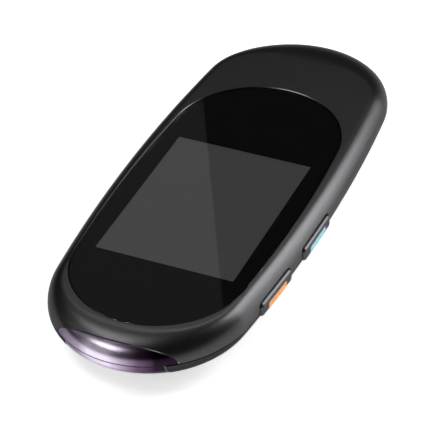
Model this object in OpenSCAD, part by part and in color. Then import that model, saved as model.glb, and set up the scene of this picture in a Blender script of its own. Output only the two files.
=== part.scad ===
// Handheld microchip scanner.
// +X is the side with the two buttons, -Y the nose with the light window, +Z up through the glass.
// The origin is the centre of the resting face. All lengths are in millimetres.

/* [Housing] */
// Length of the housing from nose to tail
body_length = 137.4; // [135:0.2:142]
// Width of the housing at its middle, without the buttons
body_width = 55.6; // [54.6:0.2:58]
// Radius of the rounded nose and tail, seen from above
end_radius = 25.6; // [25:0.1:26.2]
// Height from the resting face to the rim round the glass
body_height = 15.05; // [15:0.05:16.5]
// Height of the seam between the two shells
seam_height = 9; // [9:0.1:9.4]
// Wall thickness of both shells
wall = 2; // [1.8:0.1:2]
// How far in from the tail the hood starts to fall away
tail_roll = 14; // [11:0.5:15]

/* [Screen] */
// Width of the cover glass
glass_width = 46.9; // [46.4:0.1:47.2]
// Length of the cover glass
glass_length = 100.9; // [100:0.1:102]
// Radius of the cover glass's rounded ends
glass_radius = 22.3; // [22:0.1:22.6]
// Centre of the cover glass along the length
glass_y = -9.9; // [-10.4:0.1:-9.5]
// Thickness of the cover glass
glass_thickness = 1.1; // [0.8:0.1:1.3]
// Width of the picture area
screen_width = 36.72; // [34:0.02:38]
// Length of the picture area
screen_length = 48.96; // [46:0.02:50]
// Centre of the picture area along the length
screen_y = -12.65; // [-13.2:0.05:-12]

/* [Side buttons] */
// Length of each button along the side
button_length = 16; // [15:0.2:17]
// Height of each button
button_height = 3.8; // [3.6:0.1:4]
// How far a button stands out of the side at rest
button_proud = 0.5; // [0.45:0.05:0.8]
// How far a button travels inwards
button_travel = 0.4; // [0.3:0.05:0.45]
// Place along the side of the rear, blue button's middle
blue_button_y = -7.8; // [-8.4:0.1:-6]
// Place along the side of the front, orange button's middle
orange_button_y = -31; // [-32:0.1:-30]

/* [Light window] */
// Width of the window at the seam
window_width = 31.4; // [30:0.2:32]
// Height of the window's arch above the seam
window_rise = 4.5; // [4:0.1:4.6]
// Width of the window's lower band
band_width = 26.4; // [24:0.1:27]
// Depth of the window's lower band below the seam
band_depth = 5; // [4:0.1:5.4]

/* [Inside] */
// Thickness of the main circuit board
board_thickness = 1; // [0.8:0.1:1]
// Battery width
battery_width = 30; // [26:1:30]
// Battery length
battery_length = 48; // [40:1:48]
// Battery thickness
battery_thickness = 5; // [4:0.5:5]
// Outer width of the reader's aerial
aerial_width = 30; // [26:0.5:30]
// Outer length of the reader's aerial
aerial_length = 36; // [30:0.5:36]

/* [Hidden] */

// Steps along each side arc and each end arc of an oval, and up the rolled edge
side_steps = 12;
end_steps = 28;
roll_steps = 9;
over = 0.5;            // how far a cutter runs past the face it cuts

// Housing: edge rolls, seam and levels
half_width = body_width / 2;
end_y = body_length / 2 - end_radius;
side_roll = 4.1;
nose_roll = 8;
tail_fullness = 0.2;   // how much squarer than an ellipse the roll is at the tail
belly_roll = 24;       // the lower shell's slow roll in towards the resting face
belly_depth = seam_height + 0.6;
seam_chamfer = 0.25;
roof = 2;
floor_thickness = 2;
lip_height = 0.95;
lip_inset = 1.25;

// Glass and display stack, downwards from the rim
glass_recess = 0.25;
glass_gap = 0.12;
glass_top = body_height - glass_recess;
glass_bottom = glass_top - glass_thickness;
tape_thickness = 0.2;
ledge_top = glass_bottom - tape_thickness;
ledge_thickness = 1.2;
ledge_bottom = ledge_top - ledge_thickness;
module_width = 42.7;
module_front = screen_y - screen_length / 2 - 3;
module_back = screen_y + screen_length / 2 + 7.9;
module_length = module_back - module_front;
module_thickness = 2.5;
module_gap = 0.25;
panel_thickness = 1.2;
panel_low = glass_bottom - panel_thickness;
tray_wall = 0.35;
display_low = glass_bottom - module_thickness;

// Main board
board_top = 10.6;
board_bottom = board_top - board_thickness;
board_inset = 4.6;
board_front = -46;
tongue_width = 9;
tongue_back = 65.2;
connector_front = 24.6;
connector_height = 1.2;
chip_height = 1.5;
buzzer_at = [-10.5, -12];
buzzer_r = 6;
buzzer_height = 3;
crystal_at = [0.5, -15.5];

// Case screws: one at each end of each side
screw_x = 18.6;
screw_y = 50.5;
screw_r = 1;
head_r = 1.9;
head_height = 1.3;
head_seat = 5.6;
screw_end = 11.8;
boss_r = 2.75;
lower_boss_r = 3.3;
boss_foot = 8.5;
insert_r = 1.6;
insert_end = 12;

// Board screws
board_screw_x = 12;
board_screw_ys = [-43, 57.5];
board_screw_r = 0.8;
board_post_r = 2;

// Side buttons, in a frame whose x points out of the side and whose origin is on the seam's outline
side_radius = oval_side_radius(body_width, body_length, end_radius);
button_z = seam_height + 0.05;
button_corner = 1.1;
button_gap = 0.22;
button_chamfer = 0.4;
seat_x = -2.2;
flange_thickness = 0.8;
flange_margin = 0.9;
flange_clearance = 0.05;
rib_end = -3.5;
rib_length = 5;
plunger_z = 8.4;
plunger_height = 1.4;
plunger_length = 3.2;
plunger_out = button_travel + 0.65;
switch_front = -4.6;
switch_depth = 3.5;
switch_length = 6.2;
switch_height = 2.7;
stripe_length = 9.4;
stripe_height = 1.9;
stripe_z = button_z - 0.5;
stripe_corner = 0.4;
stripe_depth = 0.45;
stripe_proud = 0.06;

// Light window
window_gap = 0.12;
window_power = 2.3;    // the arch is a superellipse, a little fuller than an ellipse
window_steps = 40;
band_corner = 1.5;
lens_lip = 0.9;
lens_back_y = -61.6;
reflector_front = -61.4;
reflector_back = -58.6;
reflector_width = 20;
reflector_low = 6;
reflector_high = 11.5;
led_board_thickness = 1;
led_board_width = 24;
led_xs = [-6.5, 0, 6.5];
led_z = 8.6;

// Charging socket, centred on the tail
usb_width = 7.5;
usb_height = 2.6;
usb_depth = 5.6;
usb_front = 68;
usb_skin = 0.3;
usb_z = board_bottom - usb_height / 2;

// Battery and aerial
battery_low = 3.3;
battery_y = 20;
aerial_low = 3.4;
aerial_high = 7;
aerial_y = -38;
aerial_corner = 10;
aerial_section = 3;
aerial_flange = 0.6;
aerial_post_x = 13;
aerial_post_dy = 8;
aerial_post_r = 1.3;
lead_exit_y = aerial_y + aerial_length / 2;
battery_front = battery_y - battery_length / 2;

// Label in its recess on the resting face
label_size = [15, 38];
label_y = 28;
label_corner = 1.5;
label_thickness = 0.2;
label_recess_depth = 0.3;
label_margin = 0.2;
outlet_r = 0.8;

// ---- Ovals: two end arcs of radius r joined by two long side arcs ----

function oval_side_radius(w, l, r) =
    let (h = l / 2 - r)
    (h * h + w * w / 4 - r * r) / (w - 2 * r);

// Angle from the X axis at which the side arc gives way to the end arc
function oval_turn(w, l, r) = atan2(l / 2 - r, oval_side_radius(w, l, r) - w / 2);

function oval_point(w, l, r, a) =
    let (big = oval_side_radius(w, l, r), lean = atan2(sin(a), abs(cos(a))))
    abs(lean) > oval_turn(w, l, r) - 0.001
        ? [r * cos(a), sign(sin(a)) * (l / 2 - r) + r * sin(a)]
        : [sign(cos(a)) * (w / 2 - big) + big * cos(a), big * sin(a)];

// Directions of the outline's normal, close together on the ends and few on the sides
function oval_angles(w, l, r) =
    let (k = oval_turn(w, l, r))
    [for (q = [0:3])
        let (from = q % 2 == 0 ? 90 * q - k : 90 * q - 90 + k,
             sweep = q % 2 == 0 ? 2 * k : 180 - 2 * k,
             steps = q % 2 == 0 ? side_steps : end_steps)
        for (i = [0:steps - 1]) from + sweep * i / steps];

function oval(w, l, r, inset = 0) =
    [for (a = oval_angles(w, l, r)) oval_point(w, l, r, a) - inset * [cos(a), sin(a)]];

module body_oval(inset) {
    polygon(oval(body_width, body_length, end_radius, inset));
}

module glass_oval(inset) {
    translate([0, glass_y])
        polygon(oval(glass_width, glass_length, glass_radius, inset));
}

// ---- Lofted housing surfaces ----

body_angles = oval_angles(body_width, body_length, end_radius);
ring_size = len(body_angles);

// How far in from the outline the rolled upper edge reaches, for an outline normal at angle a
function roll_depth(a) =
    sin(a) < 0 ? side_roll + (nose_roll - side_roll) * pow(-sin(a), 3)
               : side_roll + (tail_roll - side_roll) * pow(sin(a), 2);

// Exponent of the roll's superellipse: 2 is an ellipse
function roll_power(a) = 2 + (sin(a) > 0 ? tail_fullness * pow(sin(a), 3) : 0);

function body_point(a, inset) =
    oval_point(body_width, body_length, end_radius, a) - inset * [cos(a), sin(a)];

// The ring that lies a share s of the way up the roll, counted from the top of the seam's chamfer
function upper_ring(s, inset, under, chamfer) =
    let (rise = body_height - under - seam_height)
    [for (a = body_angles)
        let (e = 2 / roll_power(a),
             first = asin(pow(chamfer / rise, 1 / e)),
             t = first + (90 - first) * s,
             p = body_point(a, inset + (roll_depth(a) - inset) * (1 - pow(abs(cos(t)), e))))
        [p.x, p.y, seam_height + rise * pow(sin(t), e)]];

function lower_ring(t, inset, under) =
    [for (a = body_angles)
        let (p = body_point(a, inset + (belly_roll - inset) * (1 - cos(t))))
        [p.x, p.y, seam_height - (belly_depth - under) * sin(t)]];

function flat_ring(z, inset) = [for (a = body_angles) let (p = body_point(a, inset)) [p.x, p.y, z]];

// Index of the ring point mirrored across the YZ plane, and of the point at the tail
function mirrored(i) = (2 * side_steps + end_steps - i + 2 * ring_size) % ring_size;
tail_index = side_steps + end_steps / 2;

// A closed solid through rings of body_angles. The last ring is closed by strips across X.
module ring_loft(rings) {
    n = ring_size;
    last = (len(rings) - 1) * n;
    walls = [for (k = [0:len(rings) - 2], i = [0:n - 1])
        let (a = k * n + i, b = k * n + (i + 1) % n)
        each [[a, a + n, b], [b, a + n, b + n]]];
    strips = [for (s = [0:n / 2 - 1])
        let (a = (tail_index - s + n) % n, b = (tail_index - s - 1 + n) % n)
        each [if (mirrored(b) != b) [b + last, mirrored(b) + last, a + last],
              if (mirrored(a) != a) [mirrored(b) + last, mirrored(a) + last, a + last]]];
    polyhedron(points = [for (r = rings) each r],
               faces = concat([[for (i = [0:n - 1]) i]], walls, strips),
               convexity = 6);
}

module upper_solid(inset = 0, under = 0, chamfer = 0, below = 0) {
    ring_loft(concat(
        below > 0 ? [flat_ring(seam_height - below, inset)] : [],
        chamfer > 0 ? [flat_ring(seam_height, inset + chamfer)] : [],
        [for (k = [0:roll_steps]) upper_ring(k / roll_steps, inset, under, chamfer)]));
}

// Built upside down from the resting face, so that its rings also run upwards
module lower_solid(inset = 0, under = 0, base = 0, chamfer = 0, above = 0) {
    last = asin((seam_height - base) / (belly_depth - under));
    first = asin(chamfer / (belly_depth - under));
    ring_loft(concat(
        [for (k = [roll_steps:-1:0]) lower_ring(first + (last - first) * k / roll_steps, inset, under)],
        chamfer > 0 ? [flat_ring(seam_height, inset + chamfer)] : [],
        above > 0 ? [flat_ring(seam_height + above, inset)] : []));
}

// ---- Shared shapes ----

module at_corners(x, y) {
    for (sx = [-1, 1], sy = [-1, 1])
        translate([sx * x, sy * y, 0])
            children();
}

module at_board_screws() {
    for (x = [-board_screw_x, board_screw_x], y = board_screw_ys)
        translate([x, y, 0])
            children();
}

// Puts a button's frame on the side: x out of the side, y along it, z up, origin on the seam's outline
module on_side(y) {
    translate([half_width - side_radius, 0, 0])
        rotate([0, 0, asin(y / side_radius)])
            translate([side_radius, 0, 0])
                children();
}

module slab(low, size) {
    translate(low)
        cube(size);
}

module centred_slab(x, y, low, size) {
    translate([x - size.x / 2, y - size.y / 2, low])
        cube(size);
}

// A rounded rectangle of the given length along y and height along z, from x0 to x1
module side_pill(x0, x1, z, length, height, corner) {
    translate([x0, 0, z])
        rotate([90, 0, 90])
            linear_extrude(x1 - x0)
                rounded_rectangle(length, height, corner);
}

module rounded_rectangle(w, h, r) {
    square([w - 2 * r, h], center = true);
    square([w, h - 2 * r], center = true);
    for (sx = [-1, 1], sy = [-1, 1])
        translate([sx * (w / 2 - r), sy * (h / 2 - r)])
            circle(r, $fn = 24);
}

// A round wire through hand-placed points
module wire(points, r) {
    for (i = [0:len(points) - 2])
        hull() {
            translate(points[i])
                sphere(r, $fn = 10);
            translate(points[i + 1])
                sphere(r, $fn = 10);
        }
}

// A ribbon across X that runs from one height to another in an S, with its top face through the given heights
module ribbon(width, y0, y1, z0, z1, thickness) {
    steps = 12;
    top = [for (i = [0:steps]) [y0 + (y1 - y0) * i / steps, z0 + (z1 - z0) * (1 - cos(180 * i / steps)) / 2]];
    under = [for (i = [steps:-1:0]) top[i] - [0, thickness]];
    translate([-width / 2, 0, 0])
        rotate([90, 0, 90])
            linear_extrude(width)
                polygon(concat(top, under));
}

// ---- Housing ----

// The window's arch above the seam, and the rounded band that it stands on
module window_profile(grow) {
    w = window_width / 2 + grow;
    h = window_rise + grow;
    e = 2 / window_power;
    polygon([for (i = [0:window_steps])
        let (t = 180 * i / window_steps)
        [w * sign(cos(t)) * pow(abs(cos(t)), e), seam_height - grow + (h + grow) * pow(sin(t), e)]]);
    translate([0, seam_height - band_depth / 2 + band_corner])
        rounded_rectangle(band_width + 2 * grow, band_depth + 2 * band_corner + 2 * grow, band_corner);
}

module window_cutter(grow, back) {
    translate([0, back, 0])
        rotate([90, 0, 0])
            linear_extrude(body_length / 2 + back + over)
                window_profile(grow);
}

module button_cuts(y) {
    on_side(y) {
        side_pill(seat_x - over, 3, button_z, button_length + 2 * button_gap,
                  button_height + 2 * button_gap, button_corner + button_gap);
        pocket_z = button_height + 2 * flange_margin + 0.5;
        slab([seat_x - 4, -button_length / 2 - flange_margin - 0.4, button_z - pocket_z / 2],
             [4, button_length + 2 * flange_margin + 0.8, pocket_z]);
    }
}

module usb_cuts() {
    translate([0, usb_front - usb_depth - 0.4, usb_z])
        rotate([-90, 0, 0])
            linear_extrude(usb_depth + 2)
                rounded_rectangle(usb_width + 0.4, usb_height + 0.4, 0.6);
}

// A round post, screw shank or screw hole standing between two heights
module post(z0, z1, r) {
    translate([0, 0, z0])
        cylinder(r = r, h = z1 - z0, $fn = 32);
}

module top_shell() {
    color([0.10, 0.10, 0.11])
        difference() {
            union() {
                difference() {
                    upper_solid(chamfer = seam_chamfer);
                    difference() {
                        upper_solid(inset = wall, under = roof, below = over);
                        translate([0, 0, ledge_bottom])
                            linear_extrude(4)
                                glass_oval(-1.6);
                    }
                }
                top_lip();
                intersection() {
                    union() {
                        at_corners(screw_x, screw_y)
                            post(boss_foot, body_height, boss_r);
                        at_board_screws()
                            post(board_top, body_height, board_post_r);
                    }
                    upper_solid(inset = wall / 2, under = roof / 2, below = 2);
                }
            }
            translate([0, 0, ledge_top])
                linear_extrude(3)
                    glass_oval(-glass_gap);
            slab([-module_width / 2 - module_gap, module_front - module_gap, ledge_bottom - over],
                 [module_width + 2 * module_gap, module_length + 2 * module_gap, 4]);
            at_corners(screw_x, screw_y)
                post(boss_foot - 1, insert_end + 0.2, insert_r);
            at_board_screws()
                post(board_top - 1, 12, board_screw_r + 0.03);
            button_cuts(blue_button_y);
            button_cuts(orange_button_y);
            window_cutter(0, lens_back_y + window_gap);
            usb_cuts();
        }
}

// The tongue that drops inside the lower shell's wall
module top_lip() {
    translate([0, 0, seam_height - lip_height])
        linear_extrude(lip_height + 0.4)
            difference() {
                body_oval(lip_inset);
                body_oval(wall + 0.05);
            }
}

module bottom_shell() {
    color([0.09, 0.09, 0.10])
        difference() {
            union() {
                difference() {
                    lower_solid(chamfer = seam_chamfer);
                    lower_solid(inset = wall, under = floor_thickness, base = floor_thickness, above = over);
                }
                intersection() {
                    union() {
                        at_corners(screw_x, screw_y)
                            post(0, boss_foot - 0.05, lower_boss_r);
                        translate([0, aerial_y, 0])
                            at_corners(aerial_post_x, aerial_post_dy)
                                post(0, aerial_low, aerial_post_r);
                    }
                    lower_solid(inset = wall / 2, under = 0.5, base = 0.5);
                }
            }
            translate([0, 0, seam_height - lip_height - 0.1])
                linear_extrude(2)
                    body_oval(lip_inset - 0.1);
            at_corners(screw_x, screw_y) {
                post(-1, head_seat, head_r + 0.2);
                post(-1, boss_foot + 1, screw_r + 0.15);
            }
            button_cuts(blue_button_y);
            button_cuts(orange_button_y);
            window_cutter(0, lens_back_y + window_gap);
            usb_cuts();
            label_recess();
            translate([buzzer_at.x, buzzer_at.y, 0])
                post(-1, floor_thickness + 1, outlet_r);
        }
}

module label_recess() {
    translate([0, label_y, -1])
        linear_extrude(1 + label_recess_depth)
            rounded_rectangle(label_size.x + 2 * label_margin, label_size.y + 2 * label_margin,
                              label_corner + label_margin);
}

module rating_label() {
    color([0.55, 0.56, 0.57])
        translate([0, label_y, label_recess_depth - label_thickness])
            linear_extrude(label_thickness)
                rounded_rectangle(label_size.x, label_size.y, label_corner);
}

// ---- Glass and display ----

module cover_glass() {
    color([0.03, 0.03, 0.035])
        translate([0, 0, glass_bottom])
            linear_extrude(glass_thickness)
                glass_oval(0);
}

module glass_tape() {
    color([0.05, 0.05, 0.05])
        translate([0, 0, ledge_top])
            linear_extrude(tape_thickness)
                difference() {
                    glass_oval(0.1);
                    translate([0, (module_front + module_back) / 2])
                        square([module_width + 2 * module_gap, module_length + 2 * module_gap], center = true);
                }
}

module display_panel() {
    color([0.22, 0.22, 0.22])
        slab([-module_width / 2 + tray_wall, module_front + tray_wall, panel_low],
             [module_width - 2 * tray_wall, module_length - 2 * tray_wall, panel_thickness]);
}

module display_frame() {
    color([0.75, 0.76, 0.78])
        difference() {
            slab([-module_width / 2, module_front, display_low],
                 [module_width, module_length, module_thickness - 0.1]);
            slab([-module_width / 2 + tray_wall, module_front + tray_wall, panel_low],
                 [module_width - 2 * tray_wall, module_length - 2 * tray_wall, 3]);
        }
}

module display_flex() {
    color([0.72, 0.45, 0.12])
        ribbon(16, module_back, connector_front, display_low + 0.7, board_top + connector_height - 0.45, 0.2);
}

module display_pad() {
    color([0.15, 0.15, 0.16])
        slab([-17, module_front + 4, board_top], [34, module_length - 8, display_low - board_top]);
}

// ---- Main board and what is on it ----

module main_board() {
    color([0.05, 0.30, 0.16])
        translate([0, 0, board_bottom])
            linear_extrude(board_thickness)
                difference() {
                    union() {
                        intersection() {
                            body_oval(board_inset);
                            translate([-40, board_front])
                                square([80, 120]);
                        }
                        translate([-tongue_width / 2, tongue_back - 5])
                            square([tongue_width, 5]);
                    }
                    for (sx = [-1, 1], sy = [-1, 1])
                        translate([sx * screw_x, sy * screw_y])
                            circle(boss_r + 0.4, $fn = 40);
                    for (x = [-board_screw_x, board_screw_x], y = board_screw_ys)
                        translate([x, y])
                            circle(board_screw_r + 0.2, $fn = 24);
                }
}

module flex_connector() {
    color([0.90, 0.88, 0.80])
        slab([-9.5, connector_front, board_top], [19, 3.6, connector_height]);
}

// A chip on the underside of the board, with legs along two sides
module chip(x, y, size, legs) {
    centred_slab(x, y, board_bottom - size.z, [size.x, size.y, size.z - 0.1]);
    pitch = size.y / (legs + 1);
    for (i = [1:legs], side = [-1, 1])
        centred_slab(x + side * (size.x / 2 + 0.5), y - size.y / 2 + i * pitch, board_bottom - size.z / 2,
                     [1, 0.35, size.z / 2]);
}

module microcontroller() {
    color([0.07, 0.07, 0.08])
        chip(10, -12.5, [9, 9, chip_height], 8);
}

module reader_chip() {
    color([0.08, 0.08, 0.09])
        chip(7, -26, [6, 7.5, chip_height], 6);
}

module small_components() {
    color([0.70, 0.62, 0.50]) {
        for (i = [0:4], x = [-3.4, 0.6])
            centred_slab(x, -30 + 2.4 * i, board_bottom - 0.8, [1.8, 1.1, 0.8]);
        for (i = [0:4])
            centred_slab(-8 + 4 * i, 51.5, board_bottom - 0.9, [2, 1.2, 0.9]);
    }
    color("silver")
        centred_slab(crystal_at.x, crystal_at.y, board_bottom - 1.1, [2.6, 3.4, 1.1]);
}

module buzzer() {
    color([0.10, 0.10, 0.10])
        translate([buzzer_at.x, buzzer_at.y, board_bottom - buzzer_height])
            difference() {
                cylinder(r = buzzer_r, h = buzzer_height, $fn = 64);
                post(-0.1, 0.8, outlet_r + 0.2);
            }
}

module board_screws() {
    color("silver")
        at_board_screws()
            difference() {
                union() {
                    post(board_bottom - 0.9, board_bottom, 1.7);
                    post(board_bottom - 0.01, 11.8, board_screw_r);
                }
                cross_recess(board_bottom - 0.9, 0.5, 1.6);
            }
}

// A crosshead recess cut upwards into a screw head whose face is at height z
module cross_recess(z, depth, across) {
    for (turn = [0, 90])
        rotate([0, 0, turn])
            centred_slab(0, 0, z - 0.01, [across, across / 4, depth]);
}

// ---- Aerial in the nose ----

module aerial_outline(inset) {
    rounded_rectangle(aerial_width - 2 * inset, aerial_length - 2 * inset, aerial_corner - inset);
}

module aerial_bobbin() {
    color([0.82, 0.80, 0.72])
        translate([0, aerial_y, 0])
            difference() {
                union() {
                    for (z = [aerial_low, aerial_high - aerial_flange])
                        translate([0, 0, z])
                            linear_extrude(aerial_flange)
                                aerial_outline(0);
                    translate([0, 0, aerial_low])
                        linear_extrude(aerial_high - aerial_low)
                            aerial_outline(aerial_section);
                }
                translate([0, 0, aerial_low - 1])
                    linear_extrude(aerial_high - aerial_low + 2)
                        aerial_outline(aerial_section + 1);
            }
}

module aerial_winding() {
    color([0.72, 0.36, 0.14])
        translate([0, aerial_y, aerial_low + aerial_flange])
            linear_extrude(aerial_high - aerial_low - 2 * aerial_flange)
                difference() {
                    aerial_outline(0.4);
                    aerial_outline(aerial_section);
                }
}

module aerial_leads() {
    color([0.72, 0.36, 0.14])
        for (x = [-2, 2])
            wire([[x, lead_exit_y, 5.2], [x, lead_exit_y + 1, 6.2], [x, lead_exit_y + 1.6, 7.8],
                  [x, lead_exit_y + 1.6, board_bottom - 0.35]], 0.3);
}

// ---- Battery ----

module battery_cell() {
    color([0.70, 0.72, 0.74])
        translate([0, battery_y, battery_low])
            linear_extrude(battery_thickness)
                rounded_rectangle(battery_width, battery_length, 1.5);
    color([0.85, 0.60, 0.10])
        slab([-battery_width / 2 + 3, battery_front - 1.2, battery_low + battery_thickness - 1.6],
             [battery_width - 6, 1.3, 1.2]);
}

module battery_pad() {
    color([0.20, 0.20, 0.21])
        centred_slab(0, battery_y, floor_thickness, [18, battery_length - 6, battery_low - floor_thickness]);
}

module battery_leads() {
    color([0.65, 0.05, 0.05])
        battery_wire(1);
    color([0.05, 0.05, 0.05])
        battery_wire(-1);
}

module battery_wire(side) {
    wire([[5 * side, battery_front - 1.8, 7.3], [4 * side, battery_front - 2.6, 7.4],
          [2 * side, battery_front - 3.4, 7.6], [1.2 * side, battery_front - 3.6, 7.8]], 0.5);
}

module battery_connector() {
    color([0.92, 0.91, 0.88])
        centred_slab(0, battery_front - 6.2, board_bottom - 2.4, [5.6, 4, 2.4]);
}

// ---- Charging socket ----

module usb_mouth(inset) {
    w = usb_width / 2 - inset;
    h = usb_height / 2 - inset;
    polygon([[-w, h], [w, h], [w, -h / 4], [w - 0.8, -h], [-w + 0.8, -h], [-w, -h / 4]]);
}

module usb_socket() {
    color([0.80, 0.81, 0.83])
        translate([0, usb_front, usb_z])
            rotate([90, 0, 0]) {
                difference() {
                    linear_extrude(usb_depth)
                        usb_mouth(0);
                    translate([0, 0, -over])
                        linear_extrude(usb_depth)
                            usb_mouth(usb_skin);
                }
                translate([-usb_width / 2 + 1.6, 0.05, 0.6])
                    cube([usb_width - 3.2, 0.6, usb_depth - 0.8]);
            }
}

// ---- Light window ----

module front_lens() {
    color([0.55, 0.42, 0.66, 0.6])
        difference() {
            union() {
                intersection() {
                    body_solid(0.05);
                    window_cutter(-window_gap, lens_back_y);
                }
                intersection() {
                    body_solid(wall + 0.1);
                    window_cutter(lens_lip, lens_back_y);
                }
            }
            body_solid(wall + 1);
        }
}

// Both halves of the housing as one solid, inset by g
module body_solid(g) {
    upper_solid(inset = g, under = g, below = 0.2);
    lower_solid(inset = g, under = g, base = g, above = 0.2);
}

module lens_reflector() {
    wide = reflector_width - 1.6;
    color([0.88, 0.88, 0.90])
        difference() {
            slab([-reflector_width / 2, reflector_front, reflector_low],
                 [reflector_width, reflector_back - reflector_front, reflector_high - reflector_low]);
            hull() {
                centred_slab(0, reflector_front - 0.1, reflector_low + 0.8,
                             [wide, 0.2, reflector_high - reflector_low - 1.6]);
                centred_slab(0, reflector_back - 0.7, led_z - 1.2, [wide - 2.4, 0.2, 2.4]);
            }
            for (x = led_xs)
                centred_slab(x, reflector_back - 0.5, led_z - 1, [3.2, 1.4, 2]);
        }
}

module led_board() {
    color([0.90, 0.90, 0.88])
        slab([-led_board_width / 2, reflector_back, 5.2], [led_board_width, led_board_thickness, 5.8]);
}

module indicator_leds() {
    color([0.95, 0.93, 0.75])
        for (x = led_xs)
            centred_slab(x, reflector_back - 0.4, led_z - 0.8, [2.8, 0.8, 1.6]);
}

module led_flex() {
    color([0.72, 0.45, 0.12])
        ribbon(6, reflector_back + led_board_thickness, board_front + 3, 8.2, board_bottom, 0.15);
}

// ---- Side buttons and their switches ----

module button_cap(y) {
    on_side(y)
        difference() {
            union() {
                side_pill(seat_x - flange_clearance, button_proud - button_chamfer, button_z,
                          button_length, button_height, button_corner);
                hull() {
                    side_pill(-0.1, button_proud - button_chamfer, button_z,
                              button_length, button_height, button_corner);
                    side_pill(0, button_proud, button_z, button_length - 2 * button_chamfer,
                              button_height - 2 * button_chamfer, button_corner - button_chamfer / 2);
                }
                slab([seat_x - flange_clearance - flange_thickness, -button_length / 2 - flange_margin,
                      button_z - button_height / 2 - flange_margin],
                     [flange_thickness, button_length + 2 * flange_margin, button_height + 2 * flange_margin]);
                slab([rib_end, -rib_length / 2, plunger_z - plunger_height / 2],
                     [seat_x - rib_end, rib_length, plunger_height]);
            }
            side_pill(button_proud - stripe_depth, button_proud + 1, stripe_z,
                      stripe_length, stripe_height, stripe_corner);
        }
}

module button_stripe(y) {
    on_side(y)
        side_pill(button_proud - stripe_depth, button_proud + stripe_proud, stripe_z,
                  stripe_length, stripe_height, stripe_corner);
}

module switch_body(y) {
    on_side(y)
        difference() {
            slab([switch_front - switch_depth, -switch_length / 2, board_bottom - switch_height],
                 [switch_depth, switch_length, switch_height]);
            slab([switch_front - 1.4, -plunger_length / 2 - 0.1, plunger_z - plunger_height / 2 - 0.1],
                 [2, plunger_length + 0.2, plunger_height + 0.2]);
        }
}

module switch_plunger(y) {
    on_side(y)
        slab([switch_front - 0.6, -plunger_length / 2, plunger_z - plunger_height / 2],
             [plunger_out + 0.6, plunger_length, plunger_height]);
}

module blue_button_cap() { color([0.12, 0.12, 0.13]) button_cap(blue_button_y); }
module blue_button_stripe() { color([0.55, 0.85, 0.90]) button_stripe(blue_button_y); }
module orange_button_cap() { color([0.12, 0.12, 0.13]) button_cap(orange_button_y); }
module orange_button_stripe() { color([0.95, 0.52, 0.15]) button_stripe(orange_button_y); }
module blue_switch_body() { color([0.75, 0.75, 0.77]) switch_body(blue_button_y); }
module blue_switch_plunger() { color([0.15, 0.15, 0.15]) switch_plunger(blue_button_y); }
module orange_switch_body() { color([0.75, 0.75, 0.77]) switch_body(orange_button_y); }
module orange_switch_plunger() { color([0.15, 0.15, 0.15]) switch_plunger(orange_button_y); }

// ---- Case screws and inserts ----

module case_screws() {
    color("silver")
        at_corners(screw_x, screw_y)
            difference() {
                union() {
                    post(head_seat - head_height, head_seat, head_r);
                    post(head_seat - 0.01, screw_end, screw_r);
                }
                cross_recess(head_seat - head_height, 0.8, 2);
            }
}

module threaded_inserts() {
    color([0.80, 0.62, 0.25])
        at_corners(screw_x, screw_y)
            difference() {
                post(boss_foot, insert_end, insert_r);
                post(boss_foot - 1, insert_end + 1, screw_r + 0.03);
            }
}

top_shell();
bottom_shell();
cover_glass();
glass_tape();
display_panel();
display_frame();
display_flex();
display_pad();
main_board();
flex_connector();
microcontroller();
reader_chip();
small_components();
board_screws();
aerial_bobbin();
aerial_winding();
aerial_leads();
battery_cell();
battery_pad();
battery_leads();
battery_connector();
usb_socket();
buzzer();
front_lens();
lens_reflector();
led_board();
indicator_leds();
led_flex();
blue_button_cap();
blue_button_stripe();
orange_button_cap();
orange_button_stripe();
blue_switch_body();
blue_switch_plunger();
orange_switch_body();
orange_switch_plunger();
case_screws();
threaded_inserts();
rating_label();
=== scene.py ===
"""Looks of the handheld microchip scanner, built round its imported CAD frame.

Lengths below are in millimetres unless a comment says otherwise; mm() turns points into metres.
+X is the button side, -Y the nose with the light window, +Z up through the glass.
"""

import math

import bmesh
import bpy
import numpy as np
from mathutils import Matrix, Vector
from mathutils.bvhtree import BVHTree


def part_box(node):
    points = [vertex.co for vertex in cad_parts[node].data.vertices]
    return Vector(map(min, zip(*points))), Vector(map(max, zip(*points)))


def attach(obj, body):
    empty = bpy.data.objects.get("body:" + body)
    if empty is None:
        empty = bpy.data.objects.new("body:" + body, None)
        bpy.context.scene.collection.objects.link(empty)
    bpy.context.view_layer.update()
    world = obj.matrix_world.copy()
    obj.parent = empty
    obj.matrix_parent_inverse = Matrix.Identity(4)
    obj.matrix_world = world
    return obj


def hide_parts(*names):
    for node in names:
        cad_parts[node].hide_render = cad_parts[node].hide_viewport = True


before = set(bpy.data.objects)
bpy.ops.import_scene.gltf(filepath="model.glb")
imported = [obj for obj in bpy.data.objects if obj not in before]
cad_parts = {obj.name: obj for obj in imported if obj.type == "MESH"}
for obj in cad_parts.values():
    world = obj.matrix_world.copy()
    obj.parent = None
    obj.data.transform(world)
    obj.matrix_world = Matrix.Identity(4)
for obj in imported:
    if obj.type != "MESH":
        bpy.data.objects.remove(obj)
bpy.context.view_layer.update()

MM = 0.001


def cad_box(name):
    """A CAD node's lowest and highest corner, in millimetres."""
    return [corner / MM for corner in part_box(name)]


# ---- Driving dimensions, the same as in the CAD source ----

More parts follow.
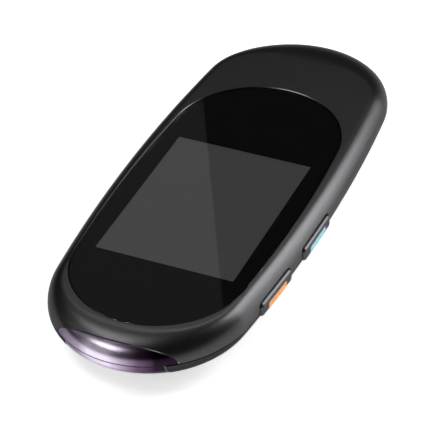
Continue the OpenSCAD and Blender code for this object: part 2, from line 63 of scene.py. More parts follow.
HALF_WIDTH = cad_box("bottom_shell")[1].x
HALF_LENGTH = 68.7
END_RADIUS = 25.6
SEAM_Z = cad_box("bottom_shell")[1].z
RIM_Z = cad_box("top_shell")[1].z
WALL = 2.0
SIDE_ROLL, NOSE_ROLL, TAIL_ROLL = 4.1, 8.0, 14.0
TAIL_FULLNESS = 0.2
BELLY_ROLL = 24.0
BELLY_DEPTH = SEAM_Z + 0.6
SEAM_CHAMFER = 0.16
GLASS_LOW, GLASS_HIGH = cad_box("cover_glass")
GLASS_RADIUS = 22.3
GLASS_GAP = 0.12
SCREEN_WIDTH, SCREEN_LENGTH, SCREEN_Y = 36.72, 48.96, -12.65
BUTTON_LENGTH, BUTTON_HEIGHT, BUTTON_Z = 16.0, 3.8, SEAM_Z + 0.05
BUTTON_CORNER, BUTTON_GAP, BUTTON_PROUD = 1.1, 0.22, 0.5
BUTTON_YS = {"blue": -7.8, "orange": -31.0}
STRIPE_LENGTH, STRIPE_HEIGHT, STRIPE_CORNER, STRIPE_Z = 9.4, 1.9, 0.4, BUTTON_Z - 0.5
WINDOW_WIDTH, WINDOW_RISE, WINDOW_POWER = 31.4, 4.5, 2.3
BAND_WIDTH, BAND_DEPTH, BAND_CORNER = 26.4, 5.0, 1.5
LENS_BACK_Y, WINDOW_GAP = -61.6, 0.12

# ---- Hidden features, simpler than in the CAD source ----

LIP_INSET, LIP_DEPTH, LIP_GAP = 1.25, 0.95, 0.1
LEDGE_WIDTH, LEDGE_Z, APERTURE_Z, ABOVE_RIM_Z = 1.6, 12.3, 11.0, 16.0
MODULE_GAP, LABEL_GAP, SOCKET_GAP = 0.25, 0.2, 0.2
RECESS_CORNER, RECESS_DEPTH = 1.7, 0.3
OUTLET_RADIUS = 0.8
INSERT_RADIUS, PILLAR_RADIUS, WELL_RADIUS, SHANK_RADIUS = 1.6, 3.3, 2.1, 1.15
PILLAR_TOP_Z, WELL_TOP_Z = 8.4, 5.6

# ---- Fine detail that only the looks have ----

# The opening in the glass's print lies below the glass's top face, and is set back to line up through it
PRINT_GAP = 0.04
OPENING_X, OPENING_Y = -0.14, SCREEN_Y + 0.34
GLASS_EDGE = 0.15
WELL_BEVEL_OUT, WELL_BEVEL_DEPTH = 0.2, 0.13
BUTTON_EDGE, BUTTON_CROWN = 0.75, 0.1
SLOT_EDGE = 0.14
# Rounded edges of the window in each shell, and of the lens, where minus means rounded inwards
WINDOW_FLARE, BAND_FLARE, LENS_FLARE = 0.32, 0.15, -0.2
LENS_SINK = 0.1
GROOVE_DEPTH, GROOVE_LIP, GROOVE_HALF = 0.42, 0.1, 0.14
# How near and how parallel to a smooth surface a face is, to take its normals
NEAR_SURFACE, PARALLEL = 0.03, 0.97

# ---- Looks ----

SATIN_TINT = (0.5, 0.5, 0.5, 1)
SCREEN_GLOW, FLOOR_GLOW = 0.0385, 0.65
# Share of the window's width, and the colour there: the lens's violet, lightened as a painted highlight a
# little left of the middle and darkened as painted shade towards both ends
LENS_VIOLET_AND_PAINTED_HIGHLIGHT = [(0.0, (0.03, 0.024, 0.034)), (0.12, (0.17, 0.14, 0.19)), (0.27, (0.32, 0.26, 0.35)),
              (0.37, (0.74, 0.67, 0.80)), (0.52, (0.74, 0.66, 0.80)), (0.64, (0.38, 0.31, 0.42)),
              (0.76, (0.12, 0.07, 0.13)), (0.88, (0.012, 0.005, 0.014))]
# Painted shade along the lens's top: its colour, and how far above the seam it begins
LENS_TOP_PAINTED_SHADE, LENS_TOP_SHADE_RISE = (0.05, 0.02, 0.055, 1), 3.4

# Azimuth and elevation that the glass mirrors in the photo's view, and the strengths of sky and glare there
GLASS_MIRROR = (-26, 37)
SKY, GLARE = 0.035, 0.11
GLARE_SIDE = Vector((-0.887, -0.461, 0.039))
# Azimuth, elevation, size in metres, radiance and distance in metres of each white card
CARDS = {
    "shoulder_card": (46, 26, (0.45, 1.1), 9.0, 1.2),
    "left_card": (-118, 65, (0.6, 0.35), 7.0, 1.2),
    "left_strip": (-115, 32, (0.25, 0.6), 1.1, 1.2),
    "tail_card": (-18, 54, (1.7, 0.42), 3.6, 2.4),
    "nose_card": (-152, 38, (0.5, 0.32), 2.6, 1.2),
    "low_nose_card": (-146, 13, (0.7, 0.4), 0.35, 1.2),
}
# Degrees, then metres
CAMERA_AZIMUTH, CAMERA_ELEVATION, CAMERA_ROLL = 25.84, 37.61, -2.81
CAMERA_DISTANCE, CAMERA_SHIFT_X, CAMERA_SHIFT_Y = 0.5702, -0.00137, 0.00124

# ---- Small helpers ----


def mm(points):
    """Points in metres."""
    return [tuple(c * MM for c in p) for p in points]


def new_object(name, verts, faces):
    """A mesh object from points in millimetres."""
    mesh = bpy.data.meshes.new(name)
    mesh.from_pydata(mm(verts), [], faces)
    mesh.validate()
    obj = bpy.data.objects.new(name, mesh)
    bpy.context.scene.collection.objects.link(obj)
    return obj


def apply_modifiers(obj):
    """Replaces the object's mesh by its modified one."""
    graph = bpy.context.evaluated_depsgraph_get()
    mesh = bpy.data.meshes.new_from_object(obj.evaluated_get(graph))
    old = obj.data
    obj.modifiers.clear()
    obj.data = mesh
    bpy.data.meshes.remove(old)


def combine(obj, operation, *others):
    """Boolean of obj with each other object, which is used up."""
    for other in others:
        modifier = obj.modifiers.new("combine", "BOOLEAN")
        modifier.operation, modifier.solver, modifier.object = operation, "MANIFOLD", other
        bpy.context.view_layer.update()
        apply_modifiers(obj)
        bpy.data.objects.remove(other)
    return obj


def loft(name, rings):
    """A closed solid through equal rings, with flat caps."""
    n = len(rings[0])
    verts = [p for ring in rings for p in ring]
    faces = [list(range(n))[::-1], [(len(rings) - 1) * n + i for i in range(n)]]
    for k in range(len(rings) - 1):
        for i in range(n):
            j = (i + 1) % n
            faces.append([k * n + i, k * n + j, (k + 1) * n + j, (k + 1) * n + i])
    return new_object(name, verts, faces)


def finish_with(obj, *materials):
    """Gives a piece these materials only, the first on every face."""
    obj.data.materials.clear()
    for m in materials:
        obj.data.materials.append(m)
    obj.data.polygons.foreach_set("material_index", [0] * len(obj.data.polygons))


def shade(obj, sharp_degrees=30, source=None):
    """Smooth shading with sharp edges kept. Faces that lie on the source mesh take its exact normals."""
    mesh = obj.data
    mesh.shade_smooth()
    mesh.set_sharp_from_angle(angle=math.radians(sharp_degrees))
    if source is None:
        return
    normals = [Vector(c.vector) for c in mesh.corner_normals]
    tree, points, triangles, point_normals = source
    for face in mesh.polygons:
        hit, _, index, distance = tree.find_nearest(face.center)
        if hit is None or distance > NEAR_SURFACE * MM:
            continue
        a, b, c = triangles[index]
        smooth = (point_normals[a] + point_normals[b] + point_normals[c]).normalized()
        if abs(face.normal.dot(smooth)) < PARALLEL:
            continue
        for loop in face.loop_indices:
            corner = mesh.vertices[mesh.loops[loop].vertex_index].co
            spot, _, index, _ = tree.find_nearest(corner)
            a, b, c = triangles[index]
            weights = barycentric(spot, points[a], points[b], points[c])
            blended = (point_normals[a] * weights[0] + point_normals[b] * weights[1]
                       + point_normals[c] * weights[2])
            normals[loop] = blended.normalized()
    mesh.normals_split_custom_set(normals)


def barycentric(p, a, b, c):
    """Weights of the corners a, b and c at point p of their triangle."""
    v0, v1, v2 = b - a, c - a, p - a
    d00, d01, d11, d20, d21 = v0.dot(v0), v0.dot(v1), v1.dot(v1), v2.dot(v0), v2.dot(v1)
    spread = d00 * d11 - d01 * d01
    if abs(spread) < 1e-20:
        return 1, 0, 0
    v = (d11 * d20 - d01 * d21) / spread
    w = (d00 * d21 - d01 * d20) / spread
    return 1 - v - w, v, w


def normal_source(obj):
    """What shade() needs to copy the smooth normals of obj."""
    mesh = obj.data
    mesh.calc_loop_triangles()
    points = [v.co.copy() for v in mesh.vertices]
    point_normals = [Vector(n.vector) for n in mesh.vertex_normals]
    triangles = [tuple(t.vertices) for t in mesh.loop_triangles]
    return BVHTree.FromPolygons(points, triangles), points, triangles, point_normals


def sunk_below(source, face):
    """How far a face's centre lies from the surface that normal_source() was given, in millimetres."""
    return source[0].find_nearest(face.center)[3] / MM


# ---- Ovals, for the housing's outline and the glass's ----


class Oval:
    """Two end arcs joined by two long side arcs."""

    def __init__(self, half_width, half_length, radius, centre_y=0.0):
        self.w, self.r, self.y = half_width, radius, centre_y
        self.h = half_length - radius
        self.big = (self.h**2 + half_width**2 - radius**2) / (2 * (half_width - radius))
        self.turn = math.atan2(self.h, self.big - half_width)

    def angles(self, side=40, end=88):
        """Outline normals' directions, close together on the ends and few on the sides."""
        spans = []
        for quarter in range(4):
            if quarter % 2 == 0:
                start, sweep, count = quarter * math.pi / 2 - self.turn, 2 * self.turn, side
            else:
                start = (quarter - 1) * math.pi / 2 + self.turn
                sweep, count = math.pi - 2 * self.turn, end
            spans += [start + sweep * i / count for i in range(count)]
        return spans

    def point(self, a, inset=0.0):
        """x and y on the outline, or inside it by inset, where its normal points at angle a."""
        c, s = math.cos(a), math.sin(a)
        lean = math.atan2(s, abs(c))
        if abs(lean) > self.turn - 1e-6:
            x, y = self.r * c, math.copysign(self.h, s) + self.r * s
        else:
            x, y = math.copysign(1, c) * (self.w - self.big) + self.big * c, self.big * s
        return x - inset * c, y - inset * s + self.y


body = Oval(HALF_WIDTH, HALF_LENGTH, END_RADIUS)
glass = Oval((GLASS_HIGH.x - GLASS_LOW.x) / 2, (GLASS_HIGH.y - GLASS_LOW.y) / 2, GLASS_RADIUS,
             (GLASS_HIGH.y + GLASS_LOW.y) / 2)
ANGLES = body.angles()

# ---- The housing's rolled surfaces ----


def roll_depth(a):
    """How far the upper roll reaches in from the outline: least at the sides, most at the tail."""
    s = math.sin(a)
    if s < 0:
        return SIDE_ROLL + (NOSE_ROLL - SIDE_ROLL) * (-s) ** 3
    return SIDE_ROLL + (TAIL_ROLL - SIDE_ROLL) * s**2


def roll_exponent(a):
    """Power of the upper roll's superellipse: an ellipse, but a little fuller at the tail."""
    s = math.sin(a)
    return 2 / (2 + (TAIL_FULLNESS * s**3 if s > 0 else 0))


def upper_point(a, t, inset=0.0, under=0.0):
    """On the upper roll at angle a of the outline; t runs from 0 at the seam to 90 degrees at the rim."""
    e = roll_exponent(a)
    x, y = body.point(a, inset + (roll_depth(a) - inset) * (1 - abs(math.cos(t)) ** e))
    return x, y, SEAM_Z + (RIM_Z - under - SEAM_Z) * math.sin(t) ** e


def lower_point(a, t, inset=0.0, under=0.0):
    """On the belly at angle a of the outline; t is 0 at the seam and grows downwards."""
    x, y = body.point(a, inset + (BELLY_ROLL - inset) * (1 - math.cos(t)))
    return x, y, SEAM_Z - (BELLY_DEPTH - under) * math.sin(t)


def flat_ring(z, inset):
    """The housing's outline at height z, moved in by inset."""
    return [(*body.point(a, inset), z) for a in ANGLES]


def upper_solid(name, inset=0.0, under=0.0, chamfer=0.0, below=0.0, steps=30):
    """The housing above the seam as a solid, moved in at the side and top, and begun below the seam."""
    rise = RIM_Z - under - SEAM_Z
    rings = [flat_ring(SEAM_Z - below, inset)] if below else []
    if chamfer:
        rings.append(flat_ring(SEAM_Z, inset + chamfer))
    for k in range(steps + 1):
        ring = []
        for a in ANGLES:
            first = math.asin((chamfer / rise) ** (1 / roll_exponent(a)))
            ring.append(upper_point(a, first + (math.pi / 2 - first) * k / steps, inset, under))
        rings.append(ring)
    return loft(name, rings)


def lower_solid(name, inset=0.0, under=0.0, base=0.0, chamfer=0.0, above=0.0, steps=24):
    """The housing below the seam as a solid, cut flat at height base, and ended above the seam."""
    depth = BELLY_DEPTH - under
    first, last = math.asin(chamfer / depth), math.asin((SEAM_Z - base) / depth)
    rings = [[lower_point(a, first + (last - first) * k / steps, inset, under) for a in ANGLES]
             for k in range(steps, -1, -1)]
    if chamfer:
        rings.append(flat_ring(SEAM_Z, inset + chamfer))
    if above:
        rings.append(flat_ring(SEAM_Z + above, inset))
    return loft(name, rings)


# ---- Cutters ----


def box(name, low, high):
    """A rectangular block between two corners."""
    (x0, y0, z0), (x1, y1, z1) = low, high
    return loft(name, [[(x0, y0, z), (x1, y0, z), (x1, y1, z), (x0, y1, z)] for z in (z0, z1)])


def outline_solid(name, inset, z0, z1):
    """A prism of the housing's outline, moved in by inset."""
    return loft(name, [flat_ring(z, inset) for z in (z0, z1)])


def quarter_round(r, steps):
    """(depth, out) pairs of a rounded edge of radius r, from depth r to the face."""
    return [(r * (1 - math.sin(q)), r * (1 - math.cos(q))) for q in np.linspace(0, math.pi / 2, steps)]


def post(name, x, y, z0, z1, r, count=48):
    """An upright cylinder."""
    ring = [(x + r * math.cos(2 * math.pi * i / count), y + r * math.sin(2 * math.pi * i / count))
            for i in range(count)]
    return loft(name, [[(*p, z) for p in ring] for z in (z0, z1)])


def glass_well():
    """Cutter for the glass's seat, with a narrow bevel where it meets the rim."""
    levels = [(GLASS_LOW.z - 0.2, 0.0), (RIM_Z - WELL_BEVEL_DEPTH, 0.0),
              (RIM_Z, WELL_BEVEL_OUT), (RIM_Z + 1, WELL_BEVEL_OUT)]
    angles = glass.angles()
    return loft("glass_well", [[(*glass.point(a, -GLASS_GAP - out), z) for a in angles] for z, out in levels])


def pill(length, height, corner, steps=10):
    """A rounded rectangle's outline, counter-clockwise, as (along, up) points."""
    points = []
    for sx, sy, start in ((1, 1, 0), (-1, 1, 90), (-1, -1, 180), (1, -1, 270)):
        for k in range(steps + 1):
            q = math.radians(start + 90 * k / steps)
            points.append((sx * (length / 2 - corner) + corner * math.cos(q),
                           sy * (height / 2 - corner) + corner * math.sin(q)))
    return points


def on_side(y):
    """Matrix of a button's frame: x out of the side, y along it, origin on the outline, in millimetres."""
    a = math.asin(y / body.big)
    return (Matrix.Translation((HALF_WIDTH - body.big, 0, 0)) @ Matrix.Rotation(a, 4, "Z")
            @ Matrix.Translation((body.big, 0, 0)))


def transformed(matrix, points):
    """The points moved by a matrix."""
    return [tuple(matrix @ Vector(p)) for p in points]


def slot_cutter(y):
    """Cutter for a button's slot: straight walls with a round-over that follows the side's surface."""
    rings = []
    for depth, out in [(4.0, 0.0)] + quarter_round(SLOT_EDGE, 6) + [(-1.5, SLOT_EDGE)]:
        outline = pill(BUTTON_LENGTH + 2 * (BUTTON_GAP + out), BUTTON_HEIGHT + 2 * (BUTTON_GAP + out),
                       BUTTON_CORNER + BUTTON_GAP + out)
        ring = []
        for along, up in outline:
            sag = along * along / (2 * body.big)
            ring.append((-surface_inset(0, BUTTON_Z + up) - sag - depth, along, BUTTON_Z + up))
        rings.append(transformed(on_side(y), ring))
    return loft("slot_cutter", rings)


def window_outline(grow):
    """The nose window in x and z: a superellipse arch above the seam on a rounded band below it."""
    w, h, e = WINDOW_WIDTH / 2 + grow, WINDOW_RISE + grow, 2 / WINDOW_POWER
    foot = SEAM_Z - grow
    arch = [(w * math.copysign(abs(math.cos(q)) ** e, math.cos(q)),
             foot + (h + grow) * max(math.sin(q), 0) ** e) for q in np.linspace(0, math.pi, 121)]
    w, low, c = BAND_WIDTH / 2 + grow, SEAM_Z - BAND_DEPTH - grow, BAND_CORNER + grow
    turns = np.linspace(0, math.pi / 2, 9)
    band = [(-w, foot)] + [(-w + c - c * math.cos(q), low + c - c * math.sin(q)) for q in turns]
    band += [(w - c + c * math.sin(q), low + c - c * math.cos(q)) for q in turns] + [(w, foot)]
    return arch + band


def nose_y(x, z):
    """Where the housing's nose surface is at that x and height."""
    near, far = math.pi, 2 * math.pi
    for _ in range(30):  # halvings, to far below a micrometre
        a = (near + far) / 2
        inset = surface_inset(a, z)
        near, far = (a, far) if body.point(a, inset)[0] < x else (near, a)
    return body.point(near, inset)[1]


def surface_inset(a, z):
    """How far the housing's surface lies inside its outline at height z, for an outline normal at angle a."""
    if z >= SEAM_Z:
        share = min((z - SEAM_Z) / (RIM_Z - SEAM_Z), 1)
        return roll_depth(a) * (1 - math.sqrt(1 - share * share))
    share = (SEAM_Z - z) / BELLY_DEPTH
    return BELLY_ROLL * (1 - math.sqrt(1 - share * share))


def window_cutter(grow=0.0, back=LENS_BACK_Y + WINDOW_GAP, flare=0.0):
    """A bar through the nose window, wider (or narrower) by flare where it meets the nose's surface."""
    rings = [[(x, back, z) for x, z in window_outline(grow)]]
    for depth, out in quarter_round(flare, 5):
        rings.append([(x, nose_y(x, z) + abs(depth), z) for x, z in window_outline(grow + out)])
    rings.append([(x, -HALF_LENGTH - 2, z) for x, z in window_outline(grow + flare)])
    return loft("window_cutter", rings)


def socket_cutter():
    """Cutter for the charging socket's opening in the tail."""
    low, high = cad_box("usb_socket")
    outline = pill(high.x - low.x + 2 * SOCKET_GAP, high.z - low.z + 2 * SOCKET_GAP, 0.6, steps=5)
    middle = (low.z + high.z) / 2
    return loft("socket_cutter", [[(x, y, middle + z) for x, z in outline]
                                  for y in (HALF_LENGTH + 1, low.y - 0.4)])


# ---- Materials ----


def material(name, build):
    """A material whose Principled shader is set up by build(tree, shader)."""
    m = bpy.data.materials.new(name)
    m.use_nodes = True
    tree = m.node_tree
    shader = tree.nodes["Principled BSDF"]
    build(tree, shader)
    return m


def node(tree, kind, **settings):
    """A new shader node with these settings."""
    made = tree.nodes.new(kind)
    for key, value in settings.items():
        setattr(made, key, value)
    return made


def texture_space(tree):
    """The piece's own coordinates, in metres."""
    return node(tree, "ShaderNodeTexCoord").outputs["Object"]


def noise(tree, scale, detail=3.0):
    """Noise on the piece's own coordinates, in waves per metre."""
    n = node(tree, "ShaderNodeTexNoise")
    n.inputs["Scale"].default_value = scale
    n.inputs["Detail"].default_value = detail
    tree.links.new(texture_space(tree), n.inputs["Vector"])
    return n.outputs["Fac"]


def ramp(tree, value, low, high, start=0.3, end=0.7):
    """A colour ramp between two colours or grey levels."""
    r = node(tree, "ShaderNodeValToRGB")
    for element, place, colour in zip(r.color_ramp.elements, (start, end), (low, high)):
        element.position = place
        element.color = (*colour, 1) if hasattr(colour, "__len__") else (colour, colour, colour, 1)
    tree.links.new(value, r.inputs["Fac"])
    return r.outputs["Color"]


def calculate(tree, operation, *values):
    """A Math node on sockets or numbers."""
    made = node(tree, "ShaderNodeMath", operation=operation)
    for socket, value in zip(made.inputs, values):
        if hasattr(value, "is_output"):
            tree.links.new(value, socket)
        else:
            socket.default_value = value
    return made.outputs[0]


def step_between(tree, value, start, end):
    """0 up to start and 1 from end, smoothly."""
    s = node(tree, "ShaderNodeMapRange", interpolation_type="SMOOTHSTEP")
    tree.links.new(value, s.inputs["Value"])
    s.inputs["From Min"].default_value, s.inputs["From Max"].default_value = start, end
    return s.outputs["Result"]


def bump(tree, shader, height, strength, distance):
    """Gives a shader a fine relief, with the distance in metres."""
    b = node(tree, "ShaderNodeBump")
    b.inputs["Strength"].default_value = strength
    b.inputs["Distance"].default_value = distance
    tree.links.new(height, b.inputs["Height"])
    tree.links.new(b.outputs["Normal"], shader.inputs["Normal"])


def plastic(name, colour, rough, grain=26000, depth=0.00001, vary=0.12, **sockets):
    """Moulded plastic: a fine spark-eroded grain, with slight colour and gloss variation."""

    def build(tree, shader):
        dark = [c * (1 - vary) for c in colour]
        light = [min(1, c * (1 + vary)) for c in colour]
        tree.links.new(ramp(tree, noise(tree, 900, 4), dark, light), shader.inputs["Base Color"])
        gloss = ramp(tree, noise(tree, 1500), rough * (1 - vary / 2), rough * (1 + vary / 2))
        tree.links.new(gloss, shader.inputs["Roughness"])
        bump(tree, shader, noise(tree, grain, 2), 0.25, depth)
        for key, value in sockets.items():
            shader.inputs[key.replace("_", " ")].default_value = value

    return material(name, build)


def metal(name, colour, rough, grain=3000):
    """Bare or plated metal, with a fine grain and uneven gloss."""

    def build(tree, shader):
        shader.inputs["Metallic"].default_value = 1
        dark = [c * 0.85 for c in colour]
        tree.links.new(ramp(tree, noise(tree, grain, 4), dark, colour), shader.inputs["Base Color"])
        gloss = ramp(tree, noise(tree, grain * 2), rough * 0.8, rough * 1.25)
        tree.links.new(gloss, shader.inputs["Roughness"])
        bump(tree, shader, noise(tree, grain * 4, 2), 0.15, 0.00001)

    return material(name, build)


# A metal-type coat with a dark edge tint: plain plastic would mirror the white floor along its edges
coat = {"vary": 0.05, "Metallic": 1.0, "Specular_Tint": SATIN_TINT}
housing_top = plastic("satin_black_coat", (0.060, 0.060, 0.062), 0.35, **coat)
# Painted shade: the lower shell takes a darker copy of the upper shell's coat
housing_bottom = plastic("satin_black_lower_painted_shade", (0.034, 0.034, 0.035), 0.37, **coat)
well_bevel = plastic("polished_bevel", (0.060, 0.060, 0.062), 0.22, **coat)
button_black = plastic("button_black", (0.060, 0.060, 0.064), 0.30, **coat)
blue_film = plastic("blue_inlay", (0.19, 0.46, 0.54), 0.35, grain=9000)
orange_film = plastic("orange_inlay", (0.72, 0.235, 0.006), 0.35, grain=9000)
# Painted shade: the lens's edges and seam groove take a darker violet
lens_edge_painted_shade = plastic("lens_edge_painted_shade", (0.12, 0.10, 0.13), 0.12)


def clear_glass():
    """Clear glass with a very faint unevenness."""

    def build(tree, shader):
        shader.inputs["Transmission Weight"].default_value = 1
        shader.inputs["IOR"].default_value = 1.5
        tree.links.new(ramp(tree, noise(tree, 60, 2), 0.0, 0.006), shader.inputs["Roughness"])
        tree.links.new(ramp(tree, noise(tree, 200, 2), (0.97, 0.98, 0.98), (0.99, 0.99, 0.99)),
                       shader.inputs["Base Color"])

    return material("clear_glass", build)


def back_print():
    """Black ink on the glass's back, with no gloss of its own."""

    def build(tree, shader):
        shader.inputs["Specular IOR Level"].default_value = 0
        tree.links.new(ramp(tree, noise(tree, 4000, 2), 0.0022, 0.0030), shader.inputs["Base Color"])
        shader.inputs["Roughness"].default_value = 0.6

    return material("black_back_print", build)


def screen_surface():
    """The blank screen: dark and glossy, with an even glow and a faint pixel grid."""

    def build(tree, shader):
        shader.inputs["Base Color"].default_value = (0.01, 0.01, 0.01, 1)
        shader.inputs["Roughness"].default_value = 0.03
        tree.links.new(ramp(tree, noise(tree, 9000, 2), (0.96, 0.96, 0.97), (1, 1, 1)),
                       shader.inputs["Emission Color"])
        shader.inputs["Emission Strength"].default_value = SCREEN_GLOW

    return material("screen_surface", build)


def violet_lens_painted_light():
    """Violet plastic with a polished face, its colour painted with a highlight lightest a little left of the
    middle, and with shade at both ends and along the top.
    """

    def build(tree, shader):
        apart = node(tree, "ShaderNodeSeparateXYZ")
        tree.links.new(texture_space(tree), apart.inputs["Vector"])
        waver = calculate(tree, "MULTIPLY", noise(tree, 260), 0.002)
        shifted = calculate(tree, "ADD", apart.outputs["X"], waver)
        across = node(tree, "ShaderNodeMapRange")
        tree.links.new(shifted, across.inputs["Value"])
        across.inputs["From Min"].default_value = -WINDOW_WIDTH / 2 * MM
        across.inputs["From Max"].default_value = WINDOW_WIDTH / 2 * MM
        # Painted highlight and shade: the colour across the width stands in for the light the lens mirrors
        tint = node(tree, "ShaderNodeValToRGB")
        stops = tint.color_ramp.elements
        stops.remove(stops[-1])
        for place, colour in LENS_VIOLET_AND_PAINTED_HIGHLIGHT[1:]:
            stops.new(place).color = (*colour, 1)
        stops[0].color = (*LENS_VIOLET_AND_PAINTED_HIGHLIGHT[0][1], 1)
        tree.links.new(across.outputs["Result"], tint.inputs["Fac"])
        # Painted shade along the dome's top
        low, high = (SEAM_Z + LENS_TOP_SHADE_RISE) * MM, (SEAM_Z + WINDOW_RISE) * MM
        top = step_between(tree, apart.outputs["Z"], low, high)
        shaded = node(tree, "ShaderNodeMix", data_type="RGBA")
        tree.links.new(top, shaded.inputs["Factor"])
        tree.links.new(tint.outputs["Color"], shaded.inputs["A"])
        shaded.inputs["B"].default_value = LENS_TOP_PAINTED_SHADE
        tree.links.new(shaded.outputs["Result"], shader.inputs["Base Color"])
        shader.inputs["Metallic"].default_value = 1.0
        shader.inputs["Specular Tint"].default_value = (0.6, 0.55, 0.62, 1)
        shader.inputs["Coat Weight"].default_value = 0.08
        shader.inputs["Coat Roughness"].default_value = 0.05
        tree.links.new(ramp(tree, noise(tree, 300, 2), 0.23, 0.27), shader.inputs["Roughness"])

    return material("violet_lens_painted_light", build)


def window_edge():
    """The arch's rounded edge: black at the middle, with a painted glint that lightens its colour towards the
    button side.
    """

    def build(tree, shader):
        apart = node(tree, "ShaderNodeSeparateXYZ")
        tree.links.new(texture_space(tree), apart.inputs["Vector"])
        # Painted glint: the colour turns light towards the button side
        glint = step_between(tree, apart.outputs["X"], 3 * MM, 14 * MM)
        colour = ramp(tree, glint, (0.03, 0.03, 0.031), (0.85, 0.83, 0.87), 0, 1)
        tree.links.new(colour, shader.inputs["Base Color"])
        tree.links.new(ramp(tree, noise(tree, 1500), 0.28, 0.32), shader.inputs["Roughness"])
        shader.inputs["Metallic"].default_value = 1
        shader.inputs["Specular Tint"].default_value = SATIN_TINT

    return material("arch_edge_painted_glint", build)


# ---- Housing ----


def bosses(name, r, z0, z1):
    """A post of radius r on each of the four case screws' axes."""
    low, high = cad_box("threaded_inserts")
    reach_x, reach_y = (high.x - low.x) / 2 - INSERT_RADIUS, (high.y - low.y) / 2 - INSERT_RADIUS
    return [post(name, sx * reach_x, sy * reach_y, z0, z1, r) for sx in (-1, 1) for sy in (-1, 1)]


def build_top_shell():
    """The upper half: hollow, with the glass's ledge and a lip that reaches into the lower half."""
    shell = upper_solid("top_housing", chamfer=SEAM_CHAMFER)
    source = normal_source(shell)
    hollow = upper_solid("hollow", inset=WALL, under=2.0, below=0.5, steps=12)
    ledge_ring = [glass.point(a, -LEDGE_WIDTH) for a in glass.angles()]
    ledge = loft("ledge", [[(*p, z) for p in ledge_ring] for z in (LEDGE_Z, ABOVE_RIM_Z)])
    combine(hollow, "DIFFERENCE", ledge)
    combine(shell, "DIFFERENCE", hollow)
    lip = outline_solid("lip", LIP_INSET, SEAM_Z - LIP_DEPTH, SEAM_Z + 0.4)
    combine(lip, "DIFFERENCE", outline_solid("bore", WALL + 0.05, SEAM_Z - 2, SEAM_Z + 2))
    combine(shell, "UNION", lip)
    module_low, module_high = cad_box("display_frame")
    aperture = box("aperture", (module_low.x - MODULE_GAP, module_low.y - MODULE_GAP, APERTURE_Z),
                   (module_high.x + MODULE_GAP, module_high.y + MODULE_GAP, ABOVE_RIM_Z))
    combine(shell, "DIFFERENCE", glass_well(), aperture, window_cutter(flare=WINDOW_FLARE), socket_cutter(),
            *[slot_cutter(y) for y in BUTTON_YS.values()])
    # The third material, the painted glint, goes on the window's rounded edge
    finish_with(shell, housing_top, well_bevel, window_edge())
    for face in shell.data.polygons:
        x, y, z = face.center / MM
        on_well_bevel = RIM_Z - 0.12 < z < RIM_Z - 0.01 and 0.8 < face.normal.z < 0.88
        near_window = y < LENS_BACK_Y and x > 0 and z > SEAM_Z + 0.2
        if on_well_bevel:
            face.material_index = 1
        elif near_window and 0.01 < sunk_below(source, face) < WINDOW_FLARE:
            face.material_index = 2
    shade(shell, 30, source)
    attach(shell, "housing")
    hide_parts("top_shell")


def build_bottom_shell():
    """The lower half: hollow, with screw pillars, the label's recess and the buzzer's outlet."""
    shell = lower_solid("bottom_housing", chamfer=SEAM_CHAMFER)
    source = normal_source(shell)
    hollow = lower_solid("hollow", inset=WALL, under=2.0, base=2.0, above=0.5, steps=12)
    combine(shell, "DIFFERENCE", hollow)
    rebate = outline_solid("rebate", LIP_INSET - LIP_GAP, SEAM_Z - LIP_DEPTH - LIP_GAP, SEAM_Z + 1)
    label_low, label_high = cad_box("rating_label")
    recess = loft("recess", [[((label_low.x + label_high.x) / 2 + x, (label_low.y + label_high.y) / 2 + y, z)
                              for x, y in pill(label_high.x - label_low.x + 2 * LABEL_GAP,
                                               label_high.y - label_low.y + 2 * LABEL_GAP, RECESS_CORNER)]
                             for z in (-1.0, RECESS_DEPTH)])
    buzzer_low, buzzer_high = cad_box("buzzer")
    outlet_x, outlet_y = (buzzer_low.x + buzzer_high.x) / 2, (buzzer_low.y + buzzer_high.y) / 2
    outlet = post("outlet", outlet_x, outlet_y, -1, 3, OUTLET_RADIUS)
    combine(shell, "DIFFERENCE", rebate, recess, outlet, window_cutter(flare=BAND_FLARE), socket_cutter(),
            *[slot_cutter(y) for y in BUTTON_YS.values()])
    holes = bosses("well", WELL_RADIUS, -1, WELL_TOP_Z) + bosses("shank", SHANK_RADIUS, 3, 10)
    for pillar in bosses("pillar", PILLAR_RADIUS, 1.0, PILLAR_TOP_Z):
        combine(pillar, "INTERSECT", lower_solid("inside", inset=WALL / 2, under=0.5, base=0.5, steps=12))
        combine(shell, "UNION", pillar)
    combine(shell, "DIFFERENCE", *holes)
    finish_with(shell, housing_bottom)
    shade(shell, 30, source)
    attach(shell, "housing")
    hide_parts("bottom_shell")


# ---- Glass and screen ----


